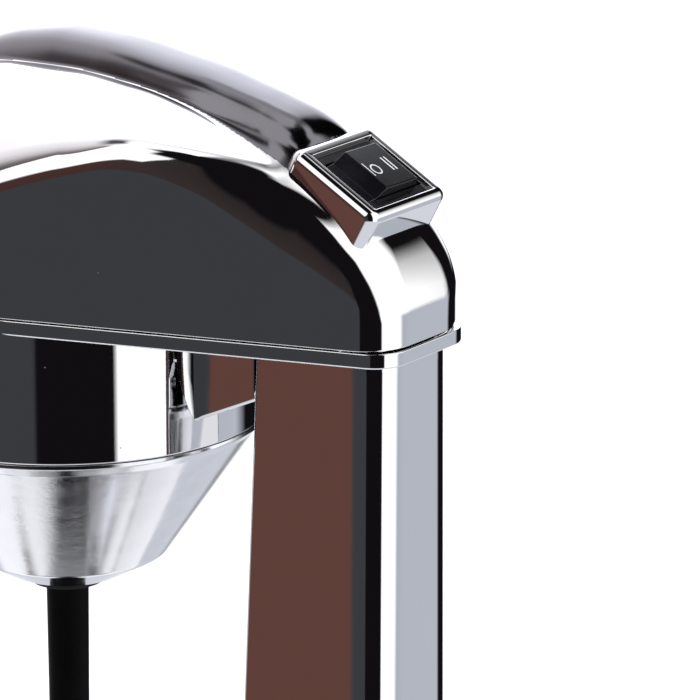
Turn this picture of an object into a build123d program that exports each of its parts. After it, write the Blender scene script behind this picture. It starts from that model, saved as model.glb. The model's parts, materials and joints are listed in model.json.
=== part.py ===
from build123d import *
import os
from math import sin, cos, tan, radians, sqrt

os.makedirs("parts", exist_ok=True)

# ---------------------------------------------------------------------------
# Driving dimensions, millimetres. +Z up, front -Y, origin on the table under
# the middle of the footprint. Plan positions are given from the spindle axis.
# ---------------------------------------------------------------------------
spindle_y = -21.0          # spindle axis, from the middle of the footprint
seam_z = 302.0             # parting plane between head cover and lower housing
nose_r = 57.4              # plan radius of the head's nose and of the barrel
taper = 18.5               # each side of the head narrows towards the rear, degrees
head_rear = 125.6          # rear of the head, from the spindle axis
rear_corner_r = 10.0
wall = 2.2
skirt_h = 4.2              # lower lip of the head below the seam
barrel_drop = 40.65        # barrel below the seam
cone_knee = (28.5, -82.6)
cone_end = (16.0, -89.3)
col_front_top, col_front_low = 80.6, 68.8
col_rear = 122.4
col_half_top, col_half_low = 18.0, 19.9
hinge_yz = (101.0, -8.0)    # tilt pivot, from the spindle axis and the seam
knuckle_r = 21.2
switch_slope = 28.4        # switch face falls towards the rear, degrees
switch_yz = (106.5, 42.9)  # middle of the switch face
switch_open = (26.2, 23.6)
base_top = 27.0
base_front_r = 84.0
base_rear = 126.0
fit = 0.3                  # gap between curved faces of different bodies

AX = Plane((0, spindle_y, 0))                       # table plane at the spindle axis
SEAM = Plane((0, spindle_y, seam_z))                # seam plane at the spindle axis
SIDE = Plane(origin=(0, spindle_y, seam_z), x_dir=(0, 1, 0), z_dir=(1, 0, 0))
SIDE0 = Plane(origin=(0, spindle_y, 0), x_dir=(0, 1, 0), z_dir=(1, 0, 0))
spin = Axis((0, spindle_y, 0), (0, 0, 1))
SLOPE = Plane(origin=(0, spindle_y + switch_yz[0], seam_z + switch_yz[1]),
              x_dir=(1, 0, 0), z_dir=(0, sin(radians(switch_slope)), cos(radians(switch_slope))))


def across(y):
    """Upright plane across the head at distance y behind the spindle axis."""
    return Plane(origin=(0, spindle_y + y, seam_z), x_dir=(1, 0, 0), z_dir=(0, -1, 0))


def head_plan(plane, inset=0.0):
    """Face of the head's plan, drawn in by inset."""
    r = nose_r - inset
    yr = head_rear - inset
    xr = r / cos(radians(taper)) - yr * tan(radians(taper))
    xt, yt = r * cos(radians(taper)), r * sin(radians(taper))
    with BuildSketch(plane) as s:
        Circle(r)
        with BuildLine():
            Polyline((-xt, yt), (-xr, yr), (xr, yr), (xt, yt), close=True)
        make_face()
        fillet(s.vertices().group_by(Axis.Y)[-1], max(rear_corner_r - inset, 2))
    return s.sketch


# stations of the crown: y, height on the centre plane, height over the wall, half-width
crown = [(-62, 2.0, -14.0, 30.0), (-54, 24.0, 6.0, 34.0), (-44, 43.5, 16.0, 46.0),
         (-28, 56.4, 22.0, 56.0), (-6, 61.3, 28.0, 63.5), (16, 62.0, 34.5, 61.0),
         (36, 60.2, 43.5, 54.0), (55, 56.8, 49.0, 47.0), (75, 51.0, 47.6, 40.0),
         (92, 44.5, 43.2, 34.0), (105, 38.5, 36.8, 29.0), (115, 31.5, 28.0, 26.0),
         (126, 12.0, 8.0, 22.0)]


def crown_block(drop=0.0):
    """Block with the arched upper surface of the head, lowered by drop."""
    with BuildPart() as b:
        for y, zc, zw, hw in crown:
            with BuildSketch(across(y)):
                with BuildLine():
                    ThreePointArc((-hw, zw - drop), (0, zc - drop), (hw, zw - drop))
                    Polyline((hw, zw - drop), (hw, -40), (-hw, -40), (-hw, zw - drop))
                make_face()
        loft()
    return b.part


# stations of the spine: y, crest height, half-width
spine = [(-46, 38.0, 8.0), (-36, 53.0, 11.5), (-21.3, 62.6, 13.5), (-5, 67.4, 14.5), (18.4, 69.3, 15.0),
         (48.8, 67.2, 15.0), (71.8, 62.7, 14.8), (94.2, 57.1, 14.5), (99, 55.6, 14.5)]


def spine_block(inset=0.0):
    """Rounded spine that runs over the head from the nose to the switch frame."""
    with BuildPart() as b:
        for y, zc, hw in spine:
            w, zt = hw - inset, zc - inset
            zs = zt - 0.55 * w
            zb = min(30.0, zc - 16)
            with BuildSketch(across(y)):
                with BuildLine():
                    ThreePointArc((-w, zs), (0, zt), (w, zs))
                    Polyline((w, zs), (w, zb), (-w, zb), (-w, zs))
                make_face()
        loft()
    return b.part


# ---------------------------------------------------------------------------
# Head shell
# ---------------------------------------------------------------------------
with BuildPart() as cover_outer:
    extrude(head_plan(SEAM.offset(0.35)), amount=72)
    add(crown_block(), mode=Mode.INTERSECT)
    top_edges = [e for e in cover_outer.edges()
                 if e.center().Z > seam_z + 6 and not (abs(e.tangent_at(0.5).Z) > 0.97)]
    try:
        fillet(top_edges, 6.0)
    except Exception as err:
        print("cover fillet left sharp", type(err).__name__)
    add(spine_block())

with BuildPart() as cover_inner:
    extrude(head_plan(SEAM.offset(-2), wall), amount=72)
    add(crown_block(wall + 0.6), mode=Mode.INTERSECT)
    with BuildPart(mode=Mode.PRIVATE) as sp_in:
        add(spine_block(2.4))
    add(sp_in.part)

with BuildPart() as head_cover:
    add(cover_outer.part)
    add(cover_inner.part, mode=Mode.SUBTRACT)
    # opening that the switch frame drops into
    with BuildSketch(SLOPE.offset(24)):
        with Locations((0, -0.7)):
            RectangleRounded(34.1, 31.3, 3.25)
    extrude(amount=-50, mode=Mode.SUBTRACT)
    # screw bosses that stand on the lower housing
    with BuildSketch(SEAM.offset(0.35)):
        with Locations((-49, 14), (49, 14), (-31, 72), (31, 72)):
            Circle(5.2)
    extrude(amount=24)
    with BuildSketch(SEAM.offset(0.35)):
        with Locations((-49, 14), (49, 14), (-31, 72), (31, 72)):
            Circle(1.5)
    extrude(amount=16, mode=Mode.SUBTRACT)
head_cover.part.label = "head_cover"

with BuildPart() as lower_housing:
    # skirt and floor
    extrude(head_plan(SEAM.offset(-skirt_h)), amount=skirt_h)
    # barrel
    with BuildSketch(SEAM.offset(-barrel_drop)):
        Circle(nose_r)
    extrude(amount=barrel_drop)
    # web between barrel and column
    with BuildSketch(SIDE):
        with BuildLine():
            Polyline((40, -39.6), (57.1, -31.8), (76.7, -22.8), (76.7, -1), (40, -1), close=True)
        make_face()
    extrude(amount=13, both=True)
    web_corner = (lower_housing.edges().filter_by(Axis.Z)
                  .filter_by(lambda e: abs(abs(e.center().X) - 13) < 0.2 and e.center().Y < spindle_y + 60
                             and e.center().Z < seam_z - skirt_h))
    try:
        fillet(web_corner, 4.0)
    except Exception as err:
        print("web cove left sharp", type(err).__name__)
    # hollow of the barrel
    with BuildSketch(SEAM.offset(-barrel_drop)):
        Circle(nose_r - 2.6)
    extrude(amount=barrel_drop, mode=Mode.SUBTRACT)
    # hollow of the web
    with BuildSketch(SIDE):
        with BuildLine():
            Polyline((50, -32.3), (57.1, -29.3), (74.5, -21.3), (74.5, 1), (50, 1), close=True)
        make_face()
    extrude(amount=10.8, both=True, mode=Mode.SUBTRACT)
    # hollow of the skirt beside the web, floor left 2 mm thick under it
    with BuildSketch(SEAM.offset(-skirt_h + 2.0)):
        add(head_plan(Plane.XY, 2.0))
        Circle(nose_r + 2.0, mode=Mode.SUBTRACT)
    extrude(amount=skirt_h, mode=Mode.SUBTRACT)
    # opening for the column's knuckle
    with BuildSketch(SEAM.offset(-skirt_h - 0.5)):
        add(head_plan(Plane.XY, 2.0))
        with Locations((0, 20.0)):
            Rectangle(140, 113.4, mode=Mode.SUBTRACT)
    extrude(amount=skirt_h + 1.0, mode=Mode.SUBTRACT)
    # screw bosses under the cover's
    with BuildSketch(SEAM.offset(-2.25)):
        with Locations((-31, 72), (31, 72)):
            Circle(4.2)
    extrude(amount=2.25)
    with BuildSketch(SEAM.offset(-6)):
        with Locations((-49, 14), (49, 14)):
            Circle(5.0)
    extrude(amount=6)
    with BuildSketch(SEAM.offset(-10)):
        with Locations((-49, 14), (49, 14), (-31, 72), (31, 72)):
            Circle(1.9)
    extrude(amount=12, mode=Mode.SUBTRACT)
    with BuildSketch(SEAM.offset(-10)):
        with Locations((-31, 72), (31, 72)):
            Circle(3.6)
    extrude(amount=7.75, mode=Mode.SUBTRACT)
lower_housing.part.label = "lower_housing"

with BuildPart() as nose_cone:
    zb = -barrel_drop - 0.25
    with BuildSketch(SIDE):
        with BuildLine():
            Polyline((57.2, zb), (57.2, zb - 1.2), (54.6, -44.6), cone_knee, cone_end, (11.6, -89.9), (11.6, -87.6),
                     (15.2, -87.1), (27.2, -80.6), (52.0, -44.3), (52.0, zb), close=True)
        make_face()
    revolve(axis=spin)
    knee = nose_cone.edges().filter_by(GeomType.CIRCLE).filter_by(
        lambda e: abs(e.radius - cone_knee[0]) < 0.2 or abs(e.radius - 54.6) < 0.2)
    try:
        fillet(knee, 2.5)
    except Exception as err:
        print("cone knee left sharp", type(err).__name__)
nose_cone.part.label = "nose_cone"

with BuildPart() as shaft_seal:
    with BuildSketch(SIDE):
        with BuildLine():
            Polyline((6.6, -86.9), (11.5, -86.9), (11.5, -90.2), (10.8, -90.6), (10.8, -92.4), (6.6, -92.4), close=True)
        make_face()
    revolve(axis=spin)
shaft_seal.part.label = "shaft_seal"

with BuildPart() as switch_frame:
    with BuildSketch(SLOPE.offset(0.8)):
        with Locations((0, -0.7)):
            RectangleRounded(34.0, 31.2, 3.2)
    extrude(amount=-20)
    fillet(switch_frame.faces().sort_by(Axis(SLOPE.origin, SLOPE.z_dir))[-1].edges(), 2.6)
    with BuildSketch(SLOPE.offset(5)):
        Rectangle(switch_open[0], switch_open[1])
    extrude(amount=-30, mode=Mode.SUBTRACT)
switch_frame.part.label = "switch_frame"

# ---------------------------------------------------------------------------
# Switch
# ---------------------------------------------------------------------------
with BuildPart() as switch_body:
    with BuildSketch(SLOPE.offset(-0.4)):
        Rectangle(switch_open[0] - 0.1, switch_open[1] - 0.1)
    extrude(amount=-2.6)
    with BuildSketch(SLOPE.offset(-3.0)):
        Rectangle(25.6, 20.4)
    extrude(amount=-14)
    # well of the rocker
    with BuildSketch(SLOPE.offset(2)):
        Rectangle(24.8, 16.8)
    extrude(amount=-14.5, mode=Mode.SUBTRACT)
    # trunnions of the rocker
    with BuildSketch(Plane(origin=SLOPE.origin + SLOPE.z_dir * -4.0 + SLOPE.y_dir * -8.5,
                           x_dir=SLOPE.x_dir, z_dir=SLOPE.y_dir)):
        Circle(1.2)
    extrude(amount=17.0)
switch_body.part.label = "switch_body"

with BuildPart() as switch_rocker:
    # low shelf at each end and a raised block with one long facet, rocking about the fore-and-aft line
    with BuildSketch(Plane(origin=SLOPE.origin + SLOPE.y_dir * 8.1, x_dir=SLOPE.x_dir, z_dir=SLOPE.y_dir * -1)):
        with BuildLine():
            Polyline((-11.6, -2.4), (-11.6, -1.0), (-10.4, -0.6), (-9.6, 2.2), (4.4, 2.6), (7.9, -0.4), (11.6, -1.0),
                     (11.6, -2.4), (4.2, -7.6), (-4.2, -7.6), close=True)
        make_face()
        with Locations((0, -4.0)):
            Circle(1.25, mode=Mode.SUBTRACT)
    extrude(amount=16.2)
switch_rocker.part.label = "switch_rocker"

with BuildPart() as switch_terminals:
    with BuildSketch(SLOPE.offset(-17.0)):
        with Locations((-7.5, 0), (0, 0), (7.5, 0)):
            Rectangle(0.8, 4.8)
    extrude(amount=-6.0)
switch_terminals.part.label = "switch_terminals"

# ---------------------------------------------------------------------------
# Motor in the barrel
# ---------------------------------------------------------------------------
core_top, core_bot = -8.0, -38.0
with BuildPart() as motor_field_core:
    with BuildSketch(SEAM.offset(core_bot)):
        Circle(43)
        Rectangle(66, 44, mode=Mode.SUBTRACT)
        Circle(25.0, mode=Mode.SUBTRACT)
    extrude(amount=core_top - core_bot)
    # pole pieces reach in to the armature
    with BuildSketch(SEAM.offset(core_bot)):
        with Locations((0, 30), (0, -30)):
            Rectangle(40, 22)
        Circle(42.9, mode=Mode.INTERSECT)
        Circle(24.6, mode=Mode.SUBTRACT)
    extrude(amount=core_top - core_bot)
    with BuildSketch(SEAM.offset(core_bot - 1)):
        with Locations((38, 0), (-38, 0)):
            Circle(2.1)
    extrude(amount=40, mode=Mode.SUBTRACT)
motor_field_core.part.label = "motor_field_core"

with BuildPart() as field_coils:
    # one coil in each side window, its ends standing over and under the core
    with BuildSketch(SEAM.offset(core_bot + 0.2)):
        with Locations((26.6, 0), (-26.6, 0)):
            Rectangle(8.0, 34)
        Circle(25.0, mode=Mode.SUBTRACT)
    extrude(amount=core_top - core_bot - 0.4)
    with BuildSketch(SEAM.offset(core_top + 0.2)):
        with Locations((0, 0)):
            Circle(36)
            Circle(25.5, mode=Mode.SUBTRACT)
    extrude(amount=5)
    with BuildSketch(SEAM.offset(core_bot - 5.2)):
        Circle(36)
        Circle(25.5, mode=Mode.SUBTRACT)
    extrude(amount=5)
    with BuildSketch(SEAM.offset(core_bot - 0.4)):
        with Locations((29.4, 0), (-29.4, 0)):
            Rectangle(4.4, 30)
    extrude(amount=core_top - core_bot + 0.8)
field_coils.part.label = "field_coils"

with BuildPart() as motor_shaft:
    with BuildSketch(SEAM.offset(32)):
        Circle(3.95)
    extrude(amount=-118)
    chamfer(motor_shaft.faces().sort_by(Axis.Z)[-1].edges(), 0.6)
motor_shaft.part.label = "motor_shaft"

with BuildPart() as armature_core:
    with BuildSketch(SEAM.offset(core_bot)):
        Circle(23.9)
        Circle(4.0, mode=Mode.SUBTRACT)
        with PolarLocations(20.2, 12):
            Rectangle(6.4, 4.4, mode=Mode.SUBTRACT)
            with Locations((3.4, 0)):
                Rectangle(3, 1.8, mode=Mode.SUBTRACT)
    extrude(amount=core_top - core_bot)
armature_core.part.label = "armature_core"

with BuildPart() as armature_windings:
    with BuildSketch(SEAM.offset(core_bot + 0.1)):
        with PolarLocations(20.1, 12):
            Rectangle(6.0, 4.1)
    extrude(amount=core_top - core_bot - 0.2)
    for z0, amt in ((core_top + 0.1, 7.0), (core_bot - 0.1, -7.0)):
        with BuildSketch(SEAM.offset(z0)):
            Circle(21.5)
            Circle(5.0, mode=Mode.SUBTRACT)
        extrude(amount=amt)
    with BuildSketch(SEAM.offset(core_bot - 0.2)):
        with PolarLocations(20.1, 12):
            Rectangle(5.6, 3.8)
        Circle(21.4, mode=Mode.INTERSECT)
    extrude(amount=core_top - core_bot + 0.4)
armature_windings.part.label = "armature_windings"

with BuildPart() as commutator:
    with BuildSketch(SEAM.offset(2.0)):
        Circle(10.5)
        Circle(4.0, mode=Mode.SUBTRACT)
        with PolarLocations(10.2, 24):
            Rectangle(1.6, 0.5, mode=Mode.SUBTRACT)
    extrude(amount=13)
commutator.part.label = "commutator"

with BuildPart() as cooling_fan:
    with BuildSketch(SEAM.offset(-57.5)):
        Circle(37)
        Circle(4.0, mode=Mode.SUBTRACT)
    extrude(amount=1.6)
    with BuildSketch(SEAM.offset(-57.5)):
        Circle(9)
        Circle(4.0, mode=Mode.SUBTRACT)
    extrude(amount=9)
    with BuildSketch(SEAM.offset(-56.0)):
        with PolarLocations(23, 10):
            with Locations(Location((0, 0), 24)):
                Rectangle(25, 1.4)
    extrude(amount=6.4)
cooling_fan.part.label = "cooling_fan"

with BuildPart() as upper_bracket:
    with BuildSketch(SEAM.offset(18.2)):
        Rectangle(90, 22)
        Circle(46, mode=Mode.INTERSECT)
        Circle(8.1, mode=Mode.SUBTRACT)
        with Locations((38, 0), (-38, 0)):
            Circle(2.1, mode=Mode.SUBTRACT)
    extrude(amount=3)
    with BuildSketch(SEAM.offset(-2.6)):
        with Locations((38, 0), (-38, 0)):
            Circle(4.6)
            Circle(2.1, mode=Mode.SUBTRACT)
    extrude(amount=20.8)
    with BuildSketch(SEAM.offset(core_top + 0.05)):
        with Locations((40.3, 0), (-40.3, 0)):
            Rectangle(5, 9)
        with Locations((38, 0), (-38, 0)):
            Circle(2.1, mode=Mode.SUBTRACT)
    extrude(amount=5.5)
    with BuildSketch(SEAM.offset(18.2)):
        Circle(11)
        Circle(8.1, mode=Mode.SUBTRACT)
    extrude(amount=9)
upper_bracket.part.label = "upper_bracket"

with BuildPart() as lower_bracket:
    with BuildSketch(SEAM.offset(-66.6)):
        Rectangle(78, 18)
        Circle(34.4, mode=Mode.INTERSECT)
        Circle(8.1, mode=Mode.SUBTRACT)
    extrude(amount=-2.6)
    with BuildSketch(SEAM.offset(-66.6)):
        Circle(12)
        Circle(8.1, mode=Mode.SUBTRACT)
    extrude(amount=-9)
lower_bracket.part.label = "lower_bracket"

with BuildPart() as upper_bearing:
    with BuildSketch(SEAM.offset(18.6)):
        Circle(8.0)
        Circle(4.02, mode=Mode.SUBTRACT)
    extrude(amount=8)
upper_bearing.part.label = "upper_bearing"

with BuildPart() as lower_bearing:
    with BuildSketch(SEAM.offset(-67.2)):
        Circle(8.0)
        Circle(4.02, mode=Mode.SUBTRACT)
    extrude(amount=-8)
lower_bearing.part.label = "lower_bearing"

with BuildPart() as motor_bolts:
    with BuildSketch(SEAM.offset(-44)):
        with Locations((38, 0), (-38, 0)):
            Circle(2.0)
    extrude(amount=68)
    with BuildSketch(SEAM.offset(21.3)):
        with Locations((38, 0), (-38, 0)):
            RegularPolygon(3.9, 6)
    extrude(amount=3.2)
motor_bolts.part.label = "motor_bolts"

with BuildPart() as motor_dampers:
    # rubber saddles between the field core and the barrel wall
    with BuildSketch(SEAM.offset(core_bot + 3)):
        Circle(nose_r - 2.7)
        Circle(43.05, mode=Mode.SUBTRACT)
        with Locations((0, 0)):
            Rectangle(200, 26, mode=Mode.SUBTRACT)
        with Locations((0, 48), (0, -48)):
            Rectangle(30, 60, mode=Mode.SUBTRACT)
    extrude(amount=22)
motor_dampers.part.label = "motor_dampers"

with BuildPart() as brush_holders:
    with BuildSketch(Plane(origin=(0, spindle_y + 11.6, seam_z + 8.5), x_dir=(1, 0, 0), z_dir=(0, 1, 0))):
        Rectangle(10, 9)
        Rectangle(6.2, 5.2, mode=Mode.SUBTRACT)
    extrude(amount=20)
    with BuildSketch(Plane(origin=(0, spindle_y - 11.6, seam_z + 8.5), x_dir=(1, 0, 0), z_dir=(0, -1, 0))):
        Rectangle(10, 9)
        Rectangle(6.2, 5.2, mode=Mode.SUBTRACT)
    extrude(amount=20)
brush_holders.part.label = "brush_holders"

with BuildPart() as carbon_brushes:
    with BuildSketch(Plane(origin=(0, spindle_y + 10.9, seam_z + 8.5), x_dir=(1, 0, 0), z_dir=(0, 1, 0))):
        Rectangle(6.0, 5.0)
    extrude(amount=13)
    with BuildSketch(Plane(origin=(0, spindle_y - 10.9, seam_z + 8.5), x_dir=(1, 0, 0), z_dir=(0, -1, 0))):
        Rectangle(6.0, 5.0)
    extrude(amount=13)
carbon_brushes.part.label = "carbon_brushes"

with BuildPart() as speed_board:
    with BuildSketch(SEAM.offset(26)):
        with Locations((0, 62)):
            Rectangle(34, 22)
    extrude(amount=1.6)
    with BuildSketch(SEAM.offset(27.6)):
        with Locations((-9, 62), (0, 62), (9, 62)):
            Rectangle(5, 9)
    extrude(amount=4)
speed_board.part.label = "speed_board"

with BuildPart() as head_screws:
    with BuildSketch(SEAM.offset(-3.9)):
        with Locations((-31, 72), (31, 72)):
            Circle(3.4)
    extrude(amount=1.6)
    with BuildSketch(SEAM.offset(-2.3)):
        with Locations((-31, 72), (31, 72)):
            Circle(1.45)
    extrude(amount=16)
    with BuildSketch(SEAM.offset(-8)):
        with Locations((-49, 14), (49, 14)):
            Circle(3.4)
    extrude(amount=1.9)
    with BuildSketch(SEAM.offset(-6.1)):
        with Locations((-49, 14), (49, 14)):
            Circle(1.45)
    extrude(amount=20)
head_screws.part.label = "head_screws"

# ---------------------------------------------------------------------------
# Rotor below the motor
# ---------------------------------------------------------------------------
with BuildPart() as spindle_coupling:
    with BuildSketch(SEAM.offset(-77.5)):
        Circle(6.2)
        Circle(4.0, mode=Mode.SUBTRACT)
    extrude(amount=-8.6)
    with BuildSketch(SEAM.offset(-86.1)):
        Circle(6.2)
    extrude(amount=-4.0)
spindle_coupling.part.label = "spindle_coupling"

spindle_low = 62.0 - seam_z
with BuildPart() as spindle:
    with BuildSketch(SIDE):
        with BuildLine():
            Polyline((0, -90.2), (6.2, -90.2), (6.2, -92.6), (6.0, -94.5), (5.7, -124), (5.2, spindle_low + 14), (5.2, spindle_low + 4),
                     (4.4, spindle_low), (0, spindle_low), close=True)
        make_face()
    revolve(axis=spin)
    # thread for the agitator nut
    with BuildSketch(SEAM.offset(spindle_low)):
        Circle(2.0)
    extrude(amount=-9)
spindle.part.label = "spindle"

with BuildPart() as agitator:
    # dished disc with a wavy rim
    with BuildSketch(SEAM.offset(spindle_low - 3.2)):
        Circle(14.5)
        Circle(2.05, mode=Mode.SUBTRACT)
    extrude(amount=3.1)
    with BuildSketch(SEAM.offset(spindle_low - 3.2)):
        with PolarLocations(15.4, 6):
            Circle(3.1, mode=Mode.ADD)
        Circle(12.5, mode=Mode.SUBTRACT)
        Circle(15.2, mode=Mode.INTERSECT)
    extrude(amount=4.6)
    with BuildSketch(SEAM.offset(spindle_low - 3.3)):
        with PolarLocations(9.0, 6, 30):
            Circle(1.7)
    extrude(amount=4, mode=Mode.SUBTRACT)
agitator.part.label = "agitator"

with BuildPart() as agitator_nut:
    with BuildSketch(SEAM.offset(spindle_low - 3.3)):
        RegularPolygon(4.6, 6)
        Circle(2.05, mode=Mode.SUBTRACT)
    extrude(amount=-4.0)
agitator_nut.part.label = "agitator_nut"

# ---------------------------------------------------------------------------
# Tilt hinge
# ---------------------------------------------------------------------------
hy, hz = hinge_yz
with BuildPart() as hinge_arm:
    # steel arm from the lower housing back to the pin, between the cheeks of the upright
    with BuildSketch(SIDE.offset(-5.5)):
        with BuildLine():
            Polyline((hy - 3.0, hz + 5.4), (hy - 19.5, hz + 17.0), (60.5, hz + 17.0), (60.5, hz + 8.0), (74.0, hz + 8.0), (74.0, hz + 6.2),
                     (hy - 22.9, hz + 6.2), (hy - 5.4, hz - 3.0), close=True)
        make_face()
        with Locations((hy, hz)):
            Circle(6.2)
            Circle(4.03, mode=Mode.SUBTRACT)
    extrude(amount=11)
    # foot plate screwed to the web's flanges
    with BuildSketch(SEAM.offset(-2.2)):
        with Locations((0, 67.2)):
            Rectangle(25, 14)
    extrude(amount=3.6)
hinge_arm.part.label = "hinge_arm"

with BuildPart() as hinge_pin:
    with BuildSketch(SIDE.offset(-12.6)):
        with Locations((hy, hz)):
            Circle(4.0)
    extrude(amount=25.2)
    chamfer(hinge_pin.edges().filter_by(GeomType.CIRCLE), 0.5)
hinge_pin.part.label = "hinge_pin"

with BuildPart() as upright:
    # folded steel upright inside the column, its two cheeks carrying the pin
    with BuildSketch(SIDE) as cheeks:
        with BuildLine():
            Polyline((hy - 13, hz - 10), (hy - 15, -seam_z + 21.5), (hy + 15, -seam_z + 21.5), (hy + 13, hz - 10), close=True)
        make_face()
        with Locations((hy, hz)):
            Circle(13.0)
        with Locations((hy, hz)):
            Circle(4.03, mode=Mode.SUBTRACT)
    extrude(amount=9.0, both=True)
    with BuildSketch(SIDE):
        with Locations((hy - 2.5, -100 - 36.4)):
            Rectangle(44, 290)
    extrude(amount=6.4, both=True, mode=Mode.SUBTRACT)
    # back web tying the cheeks, below the arm's swing
    with BuildSketch(SIDE):
        with BuildLine():
            Polyline((hy + 10.6, hz - 26), (hy + 12.5, -seam_z + 21.5), (hy + 15, -seam_z + 21.5), (hy + 13.2, hz - 26), close=True)
        make_face()
    extrude(amount=7.0, both=True)
    # foot flange on the base plate
    with BuildSketch(AX.offset(19.3)):
        with Locations((0, hy - 4)):
            Rectangle(32.4, 30)
        with Locations((-12, hy), (12, hy)):
            Circle(2.1, mode=Mode.SUBTRACT)
    extrude(amount=2.4)
upright.part.label = "upright"

with BuildPart() as detent_spring:
    with BuildSketch(SIDE.offset(-6.2)):
        with BuildLine():
            Polyline((hy + 6.6, hz - 9.4), (hy + 8.0, hz - 11), (hy + 10.4, hz - 48), (hy + 9.2, hz - 48), (hy + 7.0, hz - 12), (hy + 5.8, hz - 10.2), close=True)
        make_face()
    extrude(amount=12.4)
detent_spring.part.label = "detent_spring"

# ---------------------------------------------------------------------------
# Column
# ---------------------------------------------------------------------------
def column_section(plane, half, y0, y1, rf, rr):
    with BuildSketch(plane) as s:
        with BuildLine():
            Polyline((-half, y0), (-half, y1), (half, y1), (half, y0), close=True)
        make_face()
        fillet(s.vertices().group_by(Axis.Y)[-1], rr)
        fillet(s.vertices().group_by(Axis.Y)[0], rf)
    return s.sketch


def column_solid(inset=0.0, z_low=19.25):
    """Column from its foot to the knuckle at the tilt pivot, drawn in by inset."""
    i = inset
    top = seam_z + hz
    with BuildPart() as c:
        add(column_section(AX.offset(z_low), col_half_low - i, col_front_low + i, col_rear - i, max(1.5 - i, 0.4), 9.0 - i))
        add(column_section(AX.offset(top), col_half_top - i, col_front_top + i, col_rear - i, max(1.5 - i, 0.4), 9.0 - i))
        loft()
        with BuildPart(mode=Mode.PRIVATE) as knuckle:
            extrude(column_section(AX.offset(top - 0.5), col_half_top - i, col_front_top + i, col_rear - i, max(1.5 - i, 0.4), 9.0 - i), amount=30)
            with BuildSketch(SIDE.offset(-30)):
                with Locations((hy, hz)):
                    Circle(knuckle_r + 0.2 - i)
                    with Locations((0, -12)):
                        Rectangle(60, 24)
            extrude(amount=60, mode=Mode.INTERSECT)
        add(knuckle.part)
    return c.part


with BuildPart() as column_shell:
    add(column_solid())
    add(column_solid(wall, 18.0), mode=Mode.SUBTRACT)
    # slot for the arm's swing
    with BuildSketch(SIDE.offset(-6.4)):
        with BuildLine():
            Polyline((hy, hz + 3.0), (hy - 26, hz + 3.0), (hy - 26, hz + 32), (hy + 4, hz + 32), close=True)
        make_face()
    extrude(amount=12.8, mode=Mode.SUBTRACT)
column_shell.part.label = "column_shell"

# ---------------------------------------------------------------------------
# Base
# ---------------------------------------------------------------------------
def base_plan(plane, inset=0.0):
    r = base_front_r - inset
    yr = base_rear - inset
    with BuildSketch(plane) as s:
        Circle(r)
        with BuildLine():
            Polyline((-r * cos(radians(12)), r * sin(radians(12))), (-(58 - inset), yr), (58 - inset, yr),
                     (r * cos(radians(12)), r * sin(radians(12))), close=True)
        make_face()
        fillet(s.vertices().group_by(Axis.Y)[-1], 34 - inset)
    return s.sketch


pad_r, pad_depth = 46.0, 3.0
with BuildPart() as base_shell:
    extrude(base_plan(AX.offset(6.0)), amount=base_top - 6.0)
    fillet(base_shell.faces().sort_by(Axis.Z)[-1].edges(), 9.0)
    # raised collar round the column's foot
    with BuildSketch(AX.offset(base_top - 0.5)) as col0:
        add(column_section(Plane.XY, col_half_low + 9, col_front_low - 9, col_rear + 3.4, 10, 12))
    with BuildSketch(AX.offset(base_top + 9)) as col1:
        add(column_section(Plane.XY, col_half_low + 3.2, col_front_low - 3.2, col_rear + 2.4, 4.5, 11))
    loft()
    # hollow
    extrude(base_plan(AX.offset(5.0), 2.4), amount=base_top - 5.0 - 2.4 - 4.2, mode=Mode.SUBTRACT)
    # recess of the pad
    with BuildSketch(AX.offset(base_top)):
        Circle(pad_r + 0.1)
    extrude(amount=-pad_depth, mode=Mode.SUBTRACT)
    # seat of the column
    with BuildSketch(AX.offset(0)):
        add(column_section(Plane.XY, col_half_low + 0.15, col_front_low - 0.25, col_rear + 0.15, 1.6, 9.1))
    extrude(amount=60, mode=Mode.SUBTRACT)
    # cord inlet
    with BuildSketch(Plane(origin=(-34, spindle_y + base_rear - 8, 13.5), x_dir=(1, 0, 0), z_dir=(0, 1, 0))):
        Circle(5.1)
    extrude(amount=20, mode=Mode.SUBTRACT)
base_shell.part.label = "base_shell"

with BuildPart() as cup_pad:
    with BuildSketch(AX.offset(base_top - pad_depth)):
        Circle(pad_r)
    extrude(amount=2.2)
    with BuildSketch(AX.offset(base_top - pad_depth + 2.2)):
        Circle(pad_r)
        Circle(pad_r - 2.2, mode=Mode.SUBTRACT)
        Circle(37)
        Circle(35, mode=Mode.SUBTRACT)
        Circle(28)
        Circle(26, mode=Mode.SUBTRACT)
        Circle(19)
        Circle(17, mode=Mode.SUBTRACT)
        Circle(10)
        Circle(8, mode=Mode.SUBTRACT)
    extrude(amount=1.2)
cup_pad.part.label = "cup_pad"

with BuildPart() as base_plate:
    extrude(base_plan(AX.offset(3.4), 2.8), amount=2.4)
    # stack that the upright stands on
    with BuildSketch(AX.offset(5.8)):
        with Locations((0, 94.4)):
            Rectangle(38.2, 52)
    extrude(amount=13.4)
    with BuildSketch(AX.offset(3)):
        with Locations((-12, hy), (12, hy)):
            Circle(2.1)
    extrude(amount=20, mode=Mode.SUBTRACT)
    with BuildSketch(AX.offset(3)):
        with Locations((-52, -30), (52, -30), (-38, 96), (38, 96)):
            Circle(2.1)
    extrude(amount=6, mode=Mode.SUBTRACT)
base_plate.part.label = "base_plate"

with BuildPart() as ballast_plate:
    with BuildSketch(AX.offset(5.9)):
        with Locations((0, 0)):
            Circle(52)
        with Locations((-52, -30), (52, -30)):
            Circle(10, mode=Mode.SUBTRACT)
    extrude(amount=8)
ballast_plate.part.label = "ballast_plate"

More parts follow.
